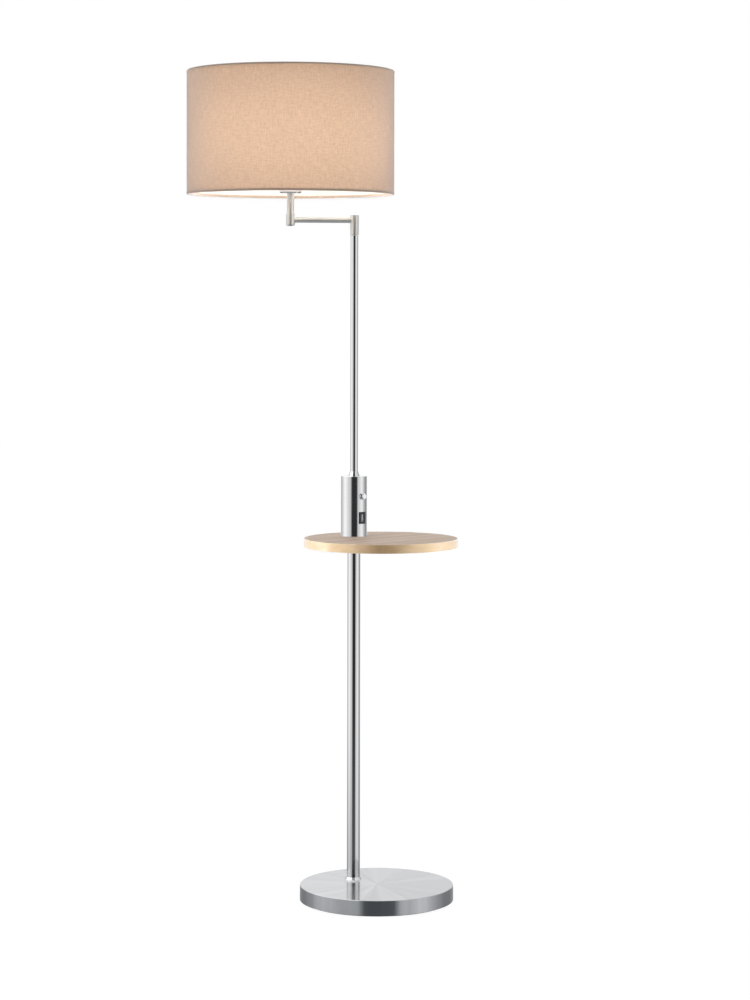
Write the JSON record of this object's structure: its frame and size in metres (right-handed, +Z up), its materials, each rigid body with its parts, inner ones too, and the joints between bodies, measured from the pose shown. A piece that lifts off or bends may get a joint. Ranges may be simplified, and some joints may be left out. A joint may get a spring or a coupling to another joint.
{
  "type": "floor lamp with table",
  "caption": "Floor lamp with a round side table, a swing arm with a drum shade, a push switch and a charging socket.",
  "frame": {"origin": "centre of the underside of the base, on the floor", "axes": "+Z up, +Y to the back, -Y to the front, where the table reaches out, +X to the right of someone who looks at the front"},
  "size_m": [0.4485, 0.4941, 1.594],
  "materials": {
    "nickel": "polished nickel",
    "brushed_nickel": "brushed nickel plate",
    "satin_nickel": "satin nickel plate",
    "chrome": "bright chrome",
    "zinc_steel": "zinc plated steel",
    "cast_iron": "rough casting",
    "brass": "plain",
    "pad": "matt foam rubber",
    "black_plastic": "fine matt",
    "white_plastic": "semi-gloss",
    "tongue_plastic": "plain",
    "board": "solder resist",
    "oak": "clear lacquered oak veneer",
    "oak_edge": "clear lacquered edge strip",
    "wire": "soft insulation",
    "shade_fabric": "linen weave",
    "lining": "cream film",
    "enamel": "white enamel",
    "frosted_glass": "frosted"
  },
  "bodies": {
    "stand": {"base_pad": "pad", "base_plate": "zinc_steel", "base_screws": "zinc_steel", "base_weight": "cast_iron", "base_cover": "brushed_nickel", "base_collar": "nickel", "base_nipple": "brass", "nipple_nuts": "zinc_steel", "cable_grommet": "black_plastic", "terminal_block": "white_plastic", "lower_pole": "nickel", "pole_plugs": "zinc_steel", "table_flange": "zinc_steel", "flange_screws": "zinc_steel", "table_top": "oak", "table_edge_band": "oak_edge", "table_nipple": "brass", "housing_foot": "zinc_steel", "housing": "satin_nickel", "housing_cap": "satin_nickel", "upper_nipple": "brass", "upper_collar": "nickel", "upper_pole_foot": "zinc_steel", "upper_pole": "nickel", "pivot_spigot": "brass", "pivot_washer": "tongue_plastic", "pivot_nut": "zinc_steel", "switch_bezel": "chrome", "switch_body": "black_plastic", "switch_nut": "zinc_steel", "usb_plate": "black_plastic", "usb_shell": "zinc_steel", "usb_tongue": "tongue_plastic", "usb_board": "board", "wire_connector": "white_plastic", "stand_wires": "wire"},
    "arm": {"arm_sleeve": "nickel", "arm_sleeve_cap": "nickel", "arm_tube": "nickel", "end_sleeve": "nickel", "end_plug": "black_plastic", "arm_wires": "wire"},
    "lamp_head": {"stub_tube": "nickel", "stub_spigot": "brass", "stub_nut": "zinc_steel", "stub_head": "zinc_steel", "holder_nipple": "brass", "socket_cup": "nickel", "lampholder": "white_plastic", "holder_contacts": "brass", "shade_spider": "enamel", "shade_nut": "white_plastic", "shade_top_ring": "enamel", "shade_fabric": "shade_fabric", "shade_lining": "lining", "bulb_base": "zinc_steel", "bulb_globe": "frosted_glass", "head_wires": "wire"},
    "button": {"switch_button": "chrome"}
  },
  "joints": [
    {"name": "arm_swing", "type": "hinge", "parent": "stand", "child": "arm", "pos_m": [0, 0.0636, 1.29], "axis": [0, 0, 1], "range_deg": [-44, 296]},
    {"name": "head_swivel", "type": "hinge", "parent": "arm", "child": "lamp_head", "pos_m": [-0.10106, 0.13649, 1.318], "axis": [0, 0, 1], "range_deg": [-170, 170]},
    {"name": "switch_press", "type": "slide", "parent": "stand", "child": "button", "axis": [0.0872, 0.9962, 0], "range_m": [0, 0.0025], "stiffness_N_per_m": 600}
  ]
}
